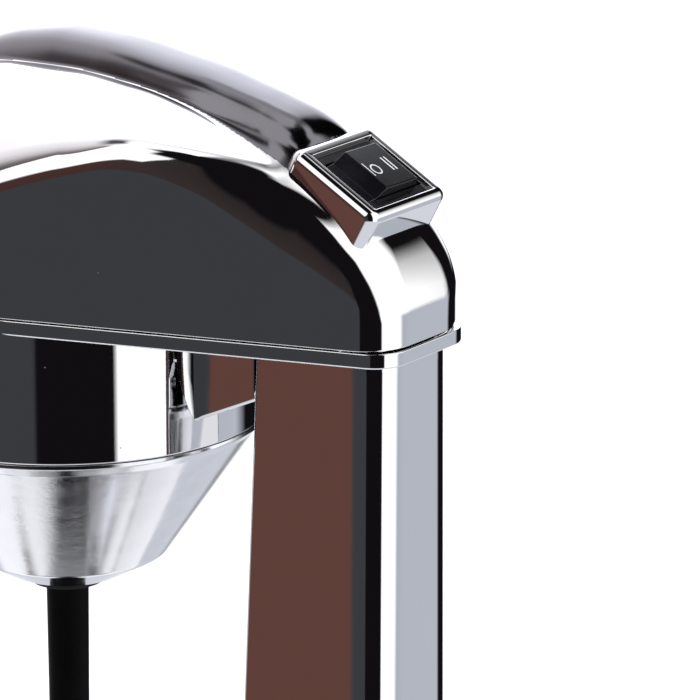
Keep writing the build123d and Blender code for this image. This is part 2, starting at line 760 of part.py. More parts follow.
foot_at = [(-58, -34), (58, -34), (-44, 96), (44, 96)]
with BuildPart() as rubber_feet:
    with BuildSketch(AX):
        with Locations(*foot_at):
            Circle(8.5)
    extrude(amount=3.35)
rubber_feet.part.label = "rubber_feet"

with BuildPart() as base_screws:
    with BuildSketch(AX.offset(1.7)):
        with Locations((-12, hy), (12, hy)):
            Circle(3.6)
    extrude(amount=1.6)
    with BuildSketch(AX.offset(3.3)):
        with Locations((-12, hy), (12, hy)):
            Circle(2.0)
    extrude(amount=18.6)
base_screws.part.label = "base_screws"

with BuildPart() as cord_gland:
    with BuildSketch(Plane(origin=(-34, spindle_y + base_rear - 7, 13.5), x_dir=(1, 0, 0), z_dir=(0, 1, 0))):
        Circle(5.0)
        Circle(3.6, mode=Mode.SUBTRACT)
    extrude(amount=8.0)
    with BuildSketch(Plane(origin=(-34, spindle_y + base_rear + 0.15, 13.5), x_dir=(1, 0, 0), z_dir=(0, 1, 0))):
        Circle(6.6)
        Circle(3.6, mode=Mode.SUBTRACT)
    extrude(amount=2.0)
cord_gland.part.label = "cord_gland"

with BuildPart() as terminal_block:
    with BuildSketch(AX.offset(5.9)):
        with Locations((-34, 92)):
            Rectangle(22, 12)
    extrude(amount=9)
    with BuildSketch(AX.offset(14.9)):
        with Locations((-41, 92), (-34, 92), (-27, 92)):
            Circle(2.0)
    extrude(amount=-5, mode=Mode.SUBTRACT)
terminal_block.part.label = "terminal_block"

parts = [head_cover, lower_housing, nose_cone, shaft_seal, switch_frame, switch_body, switch_rocker, switch_terminals,
         motor_field_core, field_coils, motor_shaft, armature_core, armature_windings, commutator, cooling_fan,
         upper_bracket, lower_bracket, upper_bearing, lower_bearing, motor_bolts, motor_dampers, brush_holders,
         carbon_brushes, speed_board, head_screws, spindle_coupling, spindle, agitator, agitator_nut, hinge_arm,
         hinge_pin, upright, detent_spring, column_shell, base_shell, cup_pad, base_plate, ballast_plate,
         rubber_feet, base_screws, cord_gland, terminal_block]
for p in parts:
    export_step(p.part, "parts/" + p.part.label + ".step")
    print(p.part.label, len(p.part.solids()), round(p.part.volume, 1))
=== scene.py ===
import json
import math

import bmesh
import bpy
import numpy as np
from mathutils import Matrix, Vector


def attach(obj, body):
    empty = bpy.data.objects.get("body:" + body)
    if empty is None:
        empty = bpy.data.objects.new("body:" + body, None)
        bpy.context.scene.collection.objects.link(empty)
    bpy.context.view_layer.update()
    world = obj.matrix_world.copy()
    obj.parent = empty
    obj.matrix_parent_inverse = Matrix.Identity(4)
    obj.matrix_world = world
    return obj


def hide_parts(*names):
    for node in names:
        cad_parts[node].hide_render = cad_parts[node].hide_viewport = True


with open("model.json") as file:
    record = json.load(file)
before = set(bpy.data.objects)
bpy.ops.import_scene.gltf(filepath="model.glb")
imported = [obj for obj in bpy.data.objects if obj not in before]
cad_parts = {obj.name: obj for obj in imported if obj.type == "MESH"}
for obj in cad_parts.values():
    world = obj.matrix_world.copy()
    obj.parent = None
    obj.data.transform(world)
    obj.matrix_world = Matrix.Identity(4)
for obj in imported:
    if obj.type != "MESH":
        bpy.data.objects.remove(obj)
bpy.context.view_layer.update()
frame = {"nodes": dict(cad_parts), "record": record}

nodes = frame["nodes"]
SY, SZ = -21.0, 302.0            # spindle axis and seam plane, millimetres
rng = np.random.default_rng(7)


# --------------------------------------------------------------------------
# Materials
# --------------------------------------------------------------------------
def new_mat(name):
    m = bpy.data.materials.new(name)
    m.use_nodes = True
    nt = m.node_tree
    b = nt.nodes["Principled BSDF"]
    return m, nt, b


def coords(nt, scale=1.0):
    tc = nt.nodes.new("ShaderNodeTexCoord")
    mp = nt.nodes.new("ShaderNodeMapping")
    s = scale if isinstance(scale, tuple) else (scale,) * 3
    mp.inputs["Scale"].default_value = s
    nt.links.new(tc.outputs["Object"], mp.inputs["Vector"])
    return mp.outputs["Vector"]


def noise(nt, vec, scale, detail=3.0, rough=0.5):
    n = nt.nodes.new("ShaderNodeTexNoise")
    n.inputs["Scale"].default_value = scale
    n.inputs["Detail"].default_value = detail
    n.inputs["Roughness"].default_value = rough
    nt.links.new(vec, n.inputs["Vector"])
    return n.outputs["Fac"]


def ramp(nt, fac, stops, interp="LINEAR"):
    r = nt.nodes.new("ShaderNodeValToRGB")
    r.color_ramp.interpolation = interp
    els = r.color_ramp.elements
    while len(els) < len(stops):
        els.new(0.5)
    for e, (p, c) in zip(els, stops):
        e.position = p
        e.color = (c, c, c, 1) if not isinstance(c, tuple) else (*c, 1)
    nt.links.new(fac, r.inputs["Fac"])
    return r.outputs["Color"]


def bump(nt, height, strength, dist, normal=None):
    b = nt.nodes.new("ShaderNodeBump")
    b.inputs["Strength"].default_value = strength
    b.inputs["Distance"].default_value = dist
    nt.links.new(height, b.inputs["Height"])
    if normal is not None:
        nt.links.new(normal, b.inputs["Normal"])
    return b.outputs["Normal"]


def mix(nt, fac, a, b):
    m = nt.nodes.new("ShaderNodeMix")
    m.data_type = "RGBA"
    for sock, v in ((m.inputs[0], fac), (m.inputs[6], a), (m.inputs[7], b)):
        if isinstance(v, (int, float)):
            sock.default_value = v
        elif isinstance(v, tuple):
            sock.default_value = (*v, 1)
        else:
            nt.links.new(v, sock)
    return m.outputs[2]


def specks(nt, vec, scale, size, keep):
    """Sparse small dots: 1 on a speck, 0 elsewhere."""
    v = nt.nodes.new("ShaderNodeTexVoronoi")
    v.inputs["Scale"].default_value = scale
    nt.links.new(vec, v.inputs["Vector"])
    near = ramp(nt, v.outputs["Distance"], [(0.0, 1.0), (size * 0.6, 1.0), (size, 0.0), (1.0, 0.0)])
    sep = nt.nodes.new("ShaderNodeSeparateColor")
    nt.links.new(v.outputs["Color"], sep.inputs["Color"])
    pick = ramp(nt, sep.outputs[0], [(0.0, 1.0), (keep, 1.0), (keep + 0.01, 0.0), (1.0, 0.0)])
    m = nt.nodes.new("ShaderNodeMath"); m.operation = "MULTIPLY"
    nt.links.new(near, m.inputs[0]); nt.links.new(pick, m.inputs[1])
    return m.outputs[0]


def chrome(name, base=(0.90, 0.90, 0.905), rough=0.03, wave=0.05, dust=0.10):
    m, nt, b = new_mat(name)
    vec = coords(nt)
    b.inputs["Metallic"].default_value = 1.0
    cloud = noise(nt, vec, 38.0, 4.0, 0.6)
    fine = noise(nt, vec, 2600.0, 2.0, 0.5)
    dots = specks(nt, vec, 210.0, 0.055, dust)
    dots2 = specks(nt, vec, 90.0, 0.028, dust * 0.8)
    mx = nt.nodes.new("ShaderNodeMath"); mx.operation = "MAXIMUM"
    nt.links.new(dots, mx.inputs[0]); nt.links.new(dots2, mx.inputs[1])
    tint = ramp(nt, cloud, [(0.3, tuple(c * 0.985 for c in base)), (0.7, base)])
    nt.links.new(mix(nt, mx.outputs[0], tint, (0.72, 0.72, 0.70)), b.inputs["Base Color"])
    r = ramp(nt, cloud, [(0.25, rough * 0.7), (0.75, rough * 1.35)])
    nt.links.new(mix(nt, mx.outputs[0], r, (0.5, 0.5, 0.5)), b.inputs["Roughness"])
    long_wave = noise(nt, vec, 14.0, 1.0, 0.3)
    n1 = bump(nt, long_wave, wave, 0.0006)
    nt.links.new(bump(nt, fine, 0.012, 0.0001, n1), b.inputs["Normal"])
    return m


def satin_metal(name, base=(0.78, 0.79, 0.82), rough=0.12):
    """Polished cast aluminium: fine turning lines, mottled by polishing."""
    m, nt, b = new_mat(name)
    vec = coords(nt)
    b.inputs["Metallic"].default_value = 1.0
    mott = noise(nt, coords(nt, (1, 1, 2.2)), 75.0, 6.0, 0.65)
    fine = noise(nt, coords(nt, (1, 1, 9.0)), 650.0, 3.0, 0.6)
    pits = specks(nt, vec, 420.0, 0.10, 0.16)
    col = ramp(nt, mott, [(0.30, tuple(c * 0.93 for c in base)), (0.62, base)])
    nt.links.new(mix(nt, pits, col, tuple(c * 0.7 for c in base)), b.inputs["Base Color"])
    nt.links.new(ramp(nt, mott, [(0.25, rough * 0.65), (0.75, rough * 1.5)]), b.inputs["Roughness"])
    b.inputs["Anisotropic"].default_value = 0.35
    n1 = bump(nt, mott, 0.10, 0.0006)
    nt.links.new(bump(nt, fine, 0.10, 0.0001, n1), b.inputs["Normal"])
    return m


def plastic(name, base, rough, grain=1400.0, grain_h=0.06, spec=0.5, dust=0.0, coat=0.0):
    m, nt, b = new_mat(name)
    vec = coords(nt)
    cloud = noise(nt, vec, 60.0, 5.0, 0.6)
    fine = noise(nt, vec, grain, 2.0, 0.5)
    lo, hi = tuple(c * 0.8 for c in base), tuple(min(1, c * 1.2) for c in base)
    col = ramp(nt, cloud, [(0.3, lo), (0.7, hi)])
    rg = ramp(nt, cloud, [(0.25, max(0.03, rough - 0.06)), (0.75, rough + 0.07)])
    if dust:
        d = specks(nt, vec, 330.0, 0.07, dust)
        col = mix(nt, d, col, (0.35, 0.35, 0.36))
    nt.links.new(col, b.inputs["Base Color"])
    nt.links.new(rg, b.inputs["Roughness"])
    b.inputs["Specular IOR Level"].default_value = spec
    b.inputs["Coat Weight"].default_value = coat
    nt.links.new(bump(nt, fine, grain_h, 0.0002), b.inputs["Normal"])
    return m


def metal(name, base, rough, aniso=0.0, lines=(1, 1, 1), scale=500.0):
    m, nt, b = new_mat(name)
    b.inputs["Metallic"].default_value = 1.0
    vec = coords(nt, lines)
    cloud = noise(nt, vec, 70.0, 5.0, 0.6)
    fine = noise(nt, vec, scale, 3.0, 0.6)
    nt.links.new(ramp(nt, cloud, [(0.3, tuple(c * 0.85 for c in base)), (0.7, base)]), b.inputs["Base Color"])
    nt.links.new(ramp(nt, fine, [(0.2, rough * 0.8), (0.8, rough * 1.3)]), b.inputs["Roughness"])
    b.inputs["Anisotropic"].default_value = aniso
    nt.links.new(bump(nt, fine, 0.15, 0.0001), b.inputs["Normal"])
    return m


def spine_painted_shade():
    """Painted shade: dark plating that stands in for the ridge's darker reflection, deepening toward the switch end."""
    m = chrome("chrome_spine_painted_shade", base=(0.25, 0.243, 0.265), rough=0.10, wave=0.02, dust=0.08)
    nt = m.node_tree
    b = nt.nodes["Principled BSDF"]
    old = b.inputs["Base Color"].links[0].from_socket
    # painted shade: the plating colour is multiplied from 1.0 down to 0.72 along Y, darker toward the switch end
    tc = nt.nodes.new("ShaderNodeTexCoord")
    sep = nt.nodes.new("ShaderNodeSeparateXYZ")
    nt.links.new(tc.outputs["Object"], sep.inputs[0])
    r = nt.nodes.new("ShaderNodeMapRange")
    r.inputs["From Min"].default_value, r.inputs["From Max"].default_value = -0.02, 0.08
    r.inputs["To Min"].default_value, r.inputs["To Max"].default_value = 1.0, 0.72
    nt.links.new(sep.outputs[1], r.inputs["Value"])
    mx = nt.nodes.new("ShaderNodeMix"); mx.data_type = "RGBA"; mx.blend_type = "MULTIPLY"
    mx.inputs[0].default_value = 1.0
    nt.links.new(old, mx.inputs[6]); nt.links.new(r.outputs["Result"], mx.inputs[7])
    nt.links.new(mx.outputs[2], b.inputs["Base Color"])
    return m


M = {
    "chrome": chrome("chrome_plate"),
    "spine": spine_painted_shade(),
    "chrome_small": chrome("chrome_frame", rough=0.035, wave=0.02, dust=0.12),
    "cone": satin_metal("polished_cone"),
    "bezel": plastic("switch_black", (0.004, 0.004, 0.006), 0.16, grain_h=0.02, spec=0.45, dust=0.03),
    "rocker": plastic("rocker_black", (0.004, 0.004, 0.006), 0.18, grain_h=0.02, spec=0.45, dust=0.03),
    "mark": plastic("mark_white", (0.80, 0.81, 0.82), 0.4, grain_h=0.02),
    "spindle": plastic("spindle_black", (0.0022, 0.0022, 0.0028), 0.5, grain_h=0.12, spec=0.06),
    "rubber": plastic("rubber_black", (0.012, 0.012, 0.012), 0.72, grain=900.0, grain_h=0.25, spec=0.3),
    "pad": plastic("pad_grey", (0.30, 0.30, 0.31), 0.6, grain=900.0, grain_h=0.25, spec=0.35),
    "moulding": plastic("moulding_black", (0.02, 0.02, 0.021), 0.5, grain=700.0, grain_h=0.3),
    "nylon": plastic("nylon_natural", (0.66, 0.64, 0.58), 0.45, grain_h=0.1),
    "board": plastic("circuit_board", (0.03, 0.16, 0.07), 0.35, grain_h=0.1),
    "carbon": plastic("carbon_brush", (0.03, 0.03, 0.032), 0.6, grain=1500.0, grain_h=0.3),
    "steel": metal("steel_plain", (0.62, 0.62, 0.64), 0.26, 0.3, (1, 1, 0.2)),
    "lamination": metal("steel_laminated", (0.34, 0.34, 0.36), 0.42, 0.0, (0.2, 0.2, 6.0)),
    "copper": metal("copper_winding", (0.80, 0.38, 0.18), 0.34, 0.2, (1, 1, 5.0)),
    "bronze": metal("bronze_bush", (0.62, 0.42, 0.22), 0.4),
    "brass": metal("brass_plain", (0.78, 0.60, 0.28), 0.28),
}
SLOT_MAT = {"steel": "steel", "lamination": "lamination", "copper": "copper", "bronze": "bronze", "carbon": "carbon",
            "brass": "brass", "board": "board", "nylon": "nylon", "rubber_black": "rubber", "black_moulding": "moulding",
            "black_spindle": "spindle", "black_switch": "bezel", "black_rocker": "rocker", "satin_cone": "cone",
            "chrome_cover": "chrome", "chrome_housing": "chrome", "chrome_column": "chrome", "chrome_frame": "chrome_small"}
slot_of = {s["node"]: s["material_slot"] for s in frame["record"]["subparts"]}
for n, o in nodes.items():
    m = M[SLOT_MAT[slot_of[n]]]
    if n == "cup_pad":
        m = M["pad"]
    o.data.materials.clear()
    o.data.materials.append(m)


# --------------------------------------------------------------------------
# Mesh helpers, all in millimetres from the spindle axis and the seam plane
# --------------------------------------------------------------------------
def to_row(v):
    v = np.asarray(v, float).reshape(-1, 3)
    return (v + np.array([0, SY, SZ])) / 1000.0


def make(name, verts, faces, mat, weld=True, raw=False, weighted=True, sharp=38):
    me = bpy.data.meshes.new(name)
    me.from_pydata((np.asarray(verts) if raw else to_row(verts)).tolist(), [], faces)
    if weld:
        bm = bmesh.new(); bm.from_mesh(me)
        bmesh.ops.remove_doubles(bm, verts=bm.verts, dist=2e-7)
        bmesh.ops.dissolve_degenerate(bm, edges=bm.edges, dist=1e-8)
        bmesh.ops.recalc_face_normals(bm, faces=bm.faces)
        for e in bm.edges:
            if weighted and (len(e.link_faces) != 2 or e.calc_face_angle() > math.radians(sharp)):
                e.smooth = False
        bm.to_mesh(me); bm.free()
    me.update()
    me.polygons.foreach_set("use_smooth", [True] * len(me.polygons))
    me.materials.append(mat)
    o = bpy.data.objects.new(name, me)
    bpy.context.scene.collection.objects.link(o)
    if weighted:
        wn = o.modifiers.new("weighted", "WEIGHTED_NORMAL")
        wn.keep_sharp = True
        wn.weight = 60
    return o


def grid_faces(rows, cols, wrap=False, off=0):
    f = []
    for i in range(rows - 1):
        for j in range(cols if wrap else cols - 1):
            a = off + i * cols + j
            b = off + i * cols + (j + 1) % cols
            f.append((a, b, b + cols, a + cols))
    return f


def loft(loops, cap0=True, cap1=True):
    """Quads between closed loops of the same count, with fans to the middle as caps."""
    loops = [np.asarray(l, float) for l in loops]
    n = len(loops[0])
    v = np.concatenate(loops)
    f = grid_faces(len(loops), n, True)
    for which, on in ((0, cap0), (len(loops) - 1, cap1)):
        if on:
            c = len(v)
            v = np.vstack([v, loops[which].mean(0)])
            base = which * n
            for j in range(n):
                a, b = base + j, base + (j + 1) % n
                f.append((a, b, c) if which else (b, a, c))
    return v, f


def round_path(pts, radii, seg=8, closed=False, edge=0):
    """Polyline with each corner rounded; 2-D points. edge adds points along straights."""
    pts = [np.array(p, float) for p in pts]
    n = len(pts)
    out = []
    for i in range(n):
        p = pts[i]
        if not closed and i in (0, n - 1):
            out.append(p); continue
        a, b = pts[i - 1], pts[(i + 1) % n]
        r = radii[i] if hasattr(radii, "__len__") else radii
        u, w = (a - p), (b - p)
        lu, lw = np.linalg.norm(u), np.linalg.norm(w)
        u, w = u / lu, w / lw
        ang = math.acos(max(-1, min(1, float(u @ w))))
        if r <= 1e-6 or ang > math.pi - 1e-3:
            out.append(p); continue
        t = r / math.tan(ang / 2)
        t = min(t, lu * 0.499, lw * 0.499)
        r = t * math.tan(ang / 2)
        c = p + (u + w) / np.linalg.norm(u + w) * (r / math.sin(ang / 2))
        p0, p1 = p + u * t, p + w * t
        a0 = math.atan2(*(p0 - c)[::-1]); a1 = math.atan2(*(p1 - c)[::-1])
        d = (a1 - a0 + math.pi) % (2 * math.pi) - math.pi
        for k in range(seg + 1):
            th = a0 + d * k / seg
            out.append(c + r * np.array([math.cos(th), math.sin(th)]))
    if edge:
        dense = []
        m = len(out)
        for i in range(m if closed else m - 1):
            a, b = out[i], out[(i + 1) % m]
            k = max(1, int(np.linalg.norm(b - a) / edge))
            dense += [a + (b - a) * j / k for j in range(k)]
        if not closed:
            dense.append(out[-1])
        out = dense
    return np.array(out)


def lathe(profile, n=256):
    """Revolve a closed or open (r, z) profile about the spindle axis."""
    prof = np.asarray(profile, float)
    th = np.linspace(0, 2 * np.pi, n, endpoint=False)
    v = np.stack([np.outer(prof[:, 0], np.cos(th)), np.outer(prof[:, 0], np.sin(th)),
                  np.repeat(prof[:, 1:2], n, 1)], -1).reshape(-1, 3)
    return v, grid_faces(len(prof), n, True)


# --------------------------------------------------------------------------
# Head cover: one smooth plated shell
# --------------------------------------------------------------------------
R, TAU, YR = 57.4, math.radians(18.5), 125.6
CT, ST, TT = math.cos(TAU), math.sin(TAU), math.tan(TAU)


def side_dist(x, y):
    """Signed distance outside the nose circle and the two tapering sides."""
    ax = np.abs(x)
    line = (ax - (R / CT - y * TT)) * CT
    circ = np.hypot(x, y) - R
    use_line = (ax * ST - y * CT) * -1 + 0 * ax      # beyond the tangent point when y*CT > ax*ST
    return np.where(y * CT > ax * ST + 0.0, line, circ)


def pchip(xs, ys):
    xs, ys = np.array(xs, float), np.array(ys, float)
    h = np.diff(xs); d = np.diff(ys) / h
    m = np.zeros(len(xs))
    m[1:-1] = np.where(d[:-1] * d[1:] > 0, (h[:-1] + h[1:]) / ((h[:-1] / np.where(d[1:] == 0, 1e-9, d[1:])) + (h[1:] / np.where(d[:-1] == 0, 1e-9, d[:-1]))), 0)
    m[0], m[-1] = d[0], d[-1]

    def f(x):
        x = np.clip(x, xs[0], xs[-1])
        i = np.clip(np.searchsorted(xs, x) - 1, 0, len(xs) - 2)
        t = (x - xs[i]) / h[i]
        t2, t3 = t * t, t * t * t
        return ((2 * t3 - 3 * t2 + 1) * ys[i] + (t3 - 2 * t2 + t) * h[i] * m[i]
                + (-2 * t3 + 3 * t2) * ys[i + 1] + (t3 - t2) * h[i] * m[i + 1])
    return f


crown_y = [-62, -54, -44, -28, -6, 16, 36, 55, 75, 92, 105, 115, 126]
zc_f = pchip(crown_y, [2, 24, 43.2, 55.0, 60.9, 61.9, 60.4, 57.0, 51.0, 44.6, 38.5, 33.0, 24.0])
zw_f = pchip(crown_y, [-14, 6, 16, 22, 28, 34.5, 43.5, 49.2, 48.2, 45.0, 40.5, 34.0, 22.0])
hw_f = pchip(crown_y, [30, 34, 46, 56, 63.5, 61, 54, 47, 40, 34, 29, 26, 22])
rho_f = pchip([-60, 10, 48, 60, 72, 87, 100, 112, 124], [7, 6.5, 6.0, 6.0, 8.0, 13.0, 17.0, 18.0, 16.0])
rear_f = pchip([-10, 8, 14, 22, 30, 38, 46, 60], [125.6, 125.6, 125.5, 124.4, 121.2, 114.4, 102.0, 70.0])
rc_f = pchip([-10, 10, 18, 24, 30, 40], [10.0, 10.0, 10.6, 13.0, 15.0, 16.0])
crest_f = pchip([-52, -46, -38, -22.6, -8.2, 6.4, 21, 43, 54.2, 65.5, 76.2, 87.3, 91.5, 96, 104, 112, 120],
                [26, 38, 50.5, 62.0, 66.4, 68.3, 68.1, 65.7, 64.2, 61.8, 59.3, 55.6, 52.9, 47.6, 38.0, 28.0, 10.0])
rw_f = pchip([-52, -46, -36, -22, 0, 30, 60, 85, 95, 104], [5, 8, 10, 11.4, 12.2, 12.6, 13.2, 15.0, 15.8, 16.2])
drop_f = pchip([-52, -40, -22, 0, 30, 60, 75, 90, 104], [6, 8, 9, 9.5, 10, 13, 18, 22, 24])
k_f = pchip([-52, 0, 40, 60, 75, 88, 100], [2.0, 0.8, 0.8, 1.6, 4.0, 6.0, 6.0])


def rmax(a, b, r):
    u = np.maximum(r + a, 0); v = np.maximum(r + b, 0)
    return np.minimum(-r, np.maximum(a, b)) + np.hypot(u, v)


def body_f(x, y, z):
    s = rmax(side_dist(x, y), y - rear_f(z), rc_f(z))
    q = np.clip(np.abs(x) / hw_f(y), 0, 1.4)
    c = zc_f(y) - (zc_f(y) - zw_f(y)) * q ** 2
    top = (z - c) * 0.9
    return rmax(s, top, rho_f(y))


def ridge_f(x, y, z):
    w, top, dr = rw_f(y), crest_f(y), drop_f(y)
    q = np.abs(x) / w
    zz = np.maximum(z - (top - dr), 0) / dr
    e = 2.5
    val = (q ** e + zz ** e) ** (1 / e) - 1
    plan = rmax(side_dist(x, y), y - 117.0, 4.0)
    above = (y - 106.5) * 0.4756 + (z - 42.9) * 0.8797 + 1.6     # over the switch face
    return np.maximum(rmax(val * np.minimum(w, dr) * 0.9, plan, 3.0), np.minimum(y - 93.6, above))


def head_f(x, y, z):
    a, b, k = body_f(x, y, z), ridge_f(x, y, z), k_f(y)
    h = np.clip(0.5 + 0.5 * (b - a) / k, 0, 1)
    return b * (1 - h) + a * h - k * h * (1 - h)


def boundary(inset=0.0, step=1.0):
    """Plan outline from the rear centre round the +X side to the front, as (x, y) points."""
    pts = []
    rr, yr, rc = R - inset, YR - inset, 10.0 - inset
    xr = rr / CT - yr * TT
    ang = math.pi / 2 + TAU
    tl = rc * math.tan((math.pi - ang) / 2)
    p_rear = np.array([xr - tl, yr])
    side_dir = np.array([ST, -CT])
    p_side = np.array([xr, yr]) + side_dir * tl
    cen = np.array([xr - tl, yr - rc])
    for t in np.linspace(0, 1, max(3, int(p_rear[0] / 1.2)), endpoint=False):
        pts.append((p_rear[0] * t, yr))
    for a in np.linspace(math.pi / 2, TAU, 22, endpoint=False):
        pts.append((cen[0] + rc * math.cos(a), cen[1] + rc * math.sin(a)))
    p_t = np.array([rr * CT, rr * ST])
    for t in np.linspace(0, 1, int(90 / step), endpoint=False):
        pts.append(tuple(p_side + (p_t - p_side) * t))
    for a in np.linspace(TAU, -math.pi / 2, int(110 / step)):
        pts.append((rr * math.cos(a), rr * math.sin(a)))
    pts = np.array(pts)
    return pts


def full_loop(pts):
    """Mirror a half outline into the whole closed loop."""
    far = pts[1:-1][::-1].copy()
    far[:, 0] *= -1
    return np.vstack([pts, far])


def head_mesh():
    half = boundary(0.0, 0.55)
    s = full_loop(half)
    yq = np.interp(s[:, 1], [-57.4, -20, 19.6, 115.6, 125.6], [-26, -6, 12, 92, 95])
    foot = np.stack([np.zeros(len(s)), yq], 1)
    d = s - foot
    L = np.linalg.norm(d, axis=1)
    d /= L[:, None]
    z0 = 12.0
    # elevations of the rays, packed where the spine's foot is
    th = np.concatenate([np.linspace(0, 40, 54, endpoint=False), np.linspace(40, 84, 96, endpoint=False), np.linspace(84, 90, 8)])
    th = np.radians(th)
    P = []
    for t in th:
        dx, dy, dz = d[:, 0] * math.cos(t), d[:, 1] * math.cos(t), math.sin(t)
        lo = np.zeros(len(s)); hi = np.full(len(s), 120.0)
        for _ in range(44):
            mid = (lo + hi) / 2
            v = head_f(foot[:, 0] + dx * mid, foot[:, 1] + dy * mid, z0 + dz * mid)
            lo = np.where(v < 0, mid, lo); hi = np.where(v < 0, hi, mid)
        P.append(np.stack([foot[:, 0] + dx * lo, foot[:, 1] + dy * lo, np.full(len(s), z0) + dz * lo], 1))
    P = np.array(P)
    # plated lip and wall below the rays; cover edge stands 0.25 mm proud at the seam
    wall = []
    prof = [(-3.2, 0.9), (-1.6, 0.55), (-0.5, 0.40), (-0.2, 0.41), (-0.07, 0.47), (-0.02, 0.56), (0.0, 0.68), (0.0, 0.8), (0, 1.2), (0, 2.0), (0, 4.0), (0, 8.0)]
    base = P[0]
    nrm = np.roll(base[:, :2], -1, 0) - np.roll(base[:, :2], 1, 0)
    nrm = np.stack([-nrm[:, 1], nrm[:, 0]], 1)
    nrm /= np.linalg.norm(nrm, axis=1)[:, None]
    if (nrm[0] @ np.array([0, 1.0])) < 0:
        nrm = -nrm
    for off, z in prof:
        wall.append(np.concatenate([base[:, :2] + nrm * off, np.full((len(base), 1), z)], 1))
    inner = []
    for q in P[::-1][1:]:
        e = 0.05
        x, y, z = q.T
        g = np.stack([head_f(x + e, y, z) - head_f(x - e, y, z), head_f(x, y + e, z) - head_f(x, y - e, z), head_f(x, y, z + e) - head_f(x, y, z - e)], 1)
        g /= np.maximum(np.linalg.norm(g, axis=1)[:, None], 1e-9)
        inner.append(q - 2.2 * g)
    top = P[-1].copy(); top[:, 2] -= 2.2
    low = inner[-1].copy(); low[:, 2] = 0.9
    loops = np.array(wall[1:] + list(P))
    loops_in = np.array([top] + inner + [low])
    n = len(s)
    v = np.concatenate([loops.reshape(-1, 3), loops_in.reshape(-1, 3)])
    f = grid_faces(len(loops), n, True)
    off = len(loops) * n
    f += [tuple(reversed(q)) for q in grid_faces(len(loops_in), n, True, off)][::1]
    last = off + (len(loops_in) - 1) * n
    f += [(last + j, last + (j + 1) % n, (j + 1) % n, j) for j in range(n)]
    return v, f


v, f = head_mesh()
cover = make("head_cover_skin", v, f, M["chrome"], weighted=False)


def exact_normals(o, func, zmin):
    """Shade with the surface's own gradient, so the reflections stay clean."""
    me = o.data
    co = np.zeros(len(me.vertices) * 3); me.vertices.foreach_get("co", co)
    co = co.reshape(-1, 3)
    no = np.zeros(len(me.vertices) * 3); me.vertices.foreach_get("normal", no)
    no = no.reshape(-1, 3)
    p = co * 1000 - np.array([0, SY, SZ])
    e = 0.02
    g = np.stack([func(p[:, 0] + e, p[:, 1], p[:, 2]) - func(p[:, 0] - e, p[:, 1], p[:, 2]),
                  func(p[:, 0], p[:, 1] + e, p[:, 2]) - func(p[:, 0], p[:, 1] - e, p[:, 2]),
                  func(p[:, 0], p[:, 1], p[:, 2] + e) - func(p[:, 0], p[:, 1], p[:, 2] - e)], 1)
    g /= np.maximum(np.linalg.norm(g, axis=1)[:, None], 1e-12)
    use = (p[:, 2] > zmin) & (np.einsum("ij,ij->i", g, no) > 0.7)
    no[use] = g[use]
    me.normals_split_custom_set_from_vertices(no.tolist())


exact_normals(cover, head_f, 0.7)
# the ridge faces take the spine plating, darkened with painted shade
cover.data.materials.append(M["spine"])
cen = np.zeros(len(cover.data.polygons) * 3); cover.data.polygons.foreach_get("center", cen)
cen = cen.reshape(-1, 3) * 1000 - np.array([0, SY, SZ])
on_spine = (ridge_f(*cen.T) < body_f(*cen.T) + 0.35 * k_f(cen[:, 1])) & (cen[:, 2] > 20) & (cen[:, 1] < 99)
cover.data.polygons.foreach_set("material_index", on_spine.astype(np.int32))
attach(cover, "head"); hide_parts("head_cover")

# --------------------------------------------------------------------------
# Lower housing: skirt, barrel and web
# --------------------------------------------------------------------------
half = boundary(0.0, 0.9)
loop2 = full_loop(half)
nrm = np.roll(loop2, -1, 0) - np.roll(loop2, 1, 0)
nrm = np.stack([-nrm[:, 1], nrm[:, 0]], 1); nrm /= np.linalg.norm(nrm, axis=1)[:, None]
if nrm[0] @ np.array([0, 1.0]) < 0:
    nrm = -nrm
sk = round_path([(-2.0, -0.05), (-0.10, -0.05), (-0.10, -4.2), (-1.9, -4.2), (-2.0, -0.05)], [0, 0.35, 0.55, 0.3, 0], 5)
loops = [np.concatenate([loop2 + nrm * o, np.full((len(loop2), 1), z)], 1) for o, z in sk]
v, f = loft(loops, False, False)
skirt = make("housing_skirt", v, f, M["chrome"])
# underside plate ahead of the column
ys = np.linspace(36, 76.6, 42)
prof_w = [(R - 1.0) / CT - y * TT for y in ys]
loops = []
for y, w in zip(ys, prof_w):
    loops.append([(-w, y, -4.0), (w, y, -4.0), (w, y, -2.3), (-w, y, -2.3)])
v, f = loft(loops)
plate = make("housing_floor", v, f, M["chrome"])
for p in plate.data.polygons:
    p.use_smooth = False
bar = round_path([(57.42, -0.2), (57.42, -40.6), (54.8, -40.6), (54.8, -0.2), (57.42, -0.2)], [0, 0.5, 0.3, 0, 0], 5)
v, f = lathe(bar, 384)
barrel = make("housing_barrel", v, f, M["chrome"])
# web: flat cheeks, rounded along the free lower and rear edges
side = round_path([(40, -38.6), (57.1, -31.8), (76.7, -22.8), (76.7, -2.5), (40, -2.5)], [0, 0, 1.4, 0, 0], 6, edge=3.0)
xs = [(-13, 0.8), (-12.76, 0.24), (-12.2, 0.0), (12.2, 0.0), (12.76, 0.24), (13, 0.8)]
loops = []
cy, cz = side[:, 0].mean(), side[:, 1].mean()
for x, ins in xs:
    q = side.copy()
    q[:, 0] = np.where(q[:, 0] > 58, q[:, 0] - ins, q[:, 0])
    q[:, 1] = np.where(q[:, 1] < -10, q[:, 1] + ins, q[:, 1])
    loops.append(np.stack([np.full(len(q), x), q[:, 0], q[:, 1]], 1))
v, f = loft(loops)
web = make("housing_web", v, f, M["chrome"])
for o in (skirt, plate, barrel, web):
    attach(o, "head"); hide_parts("lower_housing")

